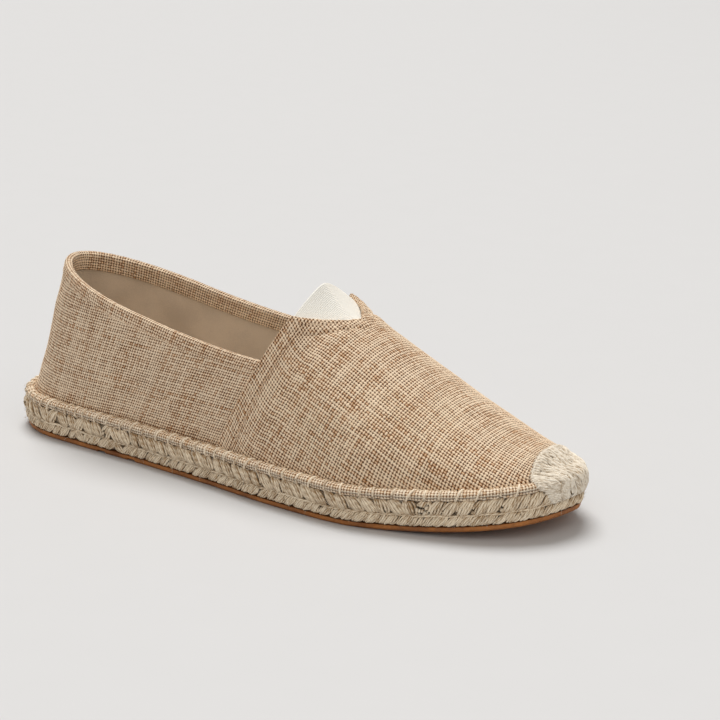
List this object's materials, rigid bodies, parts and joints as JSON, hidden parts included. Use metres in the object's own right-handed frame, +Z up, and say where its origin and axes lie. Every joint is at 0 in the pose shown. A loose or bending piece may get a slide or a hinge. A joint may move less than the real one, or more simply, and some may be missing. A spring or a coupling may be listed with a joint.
{
  "type": "espadrille shoe",
  "caption": "Slip-on espadrille for the right foot: hollow burlap upper with an elastic gore at the throat, thread-covered toe and braided jute sole on thin rubber.",
  "frame": {"origin": "on the floor under the middle of the shoe's box", "axes": "+X from the heel to the toe, +Y towards the medial side, +Z up"},
  "size_m": [0.2816, 0.0946, 0.0839],
  "materials": {
    "burlap": "coarse natural burlap in a plain weave, matt, with slubs",
    "jute": "off-white jute braid and thread, matt and fibrous",
    "crepe_rubber": "terracotta brown moulded rubber, satin",
    "elastic": "off-white ribbed elastic webbing",
    "cotton": "smooth beige cotton twill lining"
  },
  "bodies": {
    "root": {"outsole": "crepe_rubber", "jute_sole": "jute", "insole": "cotton", "upper": "burlap", "edge_roll": "burlap", "elastic_gore": "elastic", "toe_cap": "jute"}
  },
  "joints": []
}
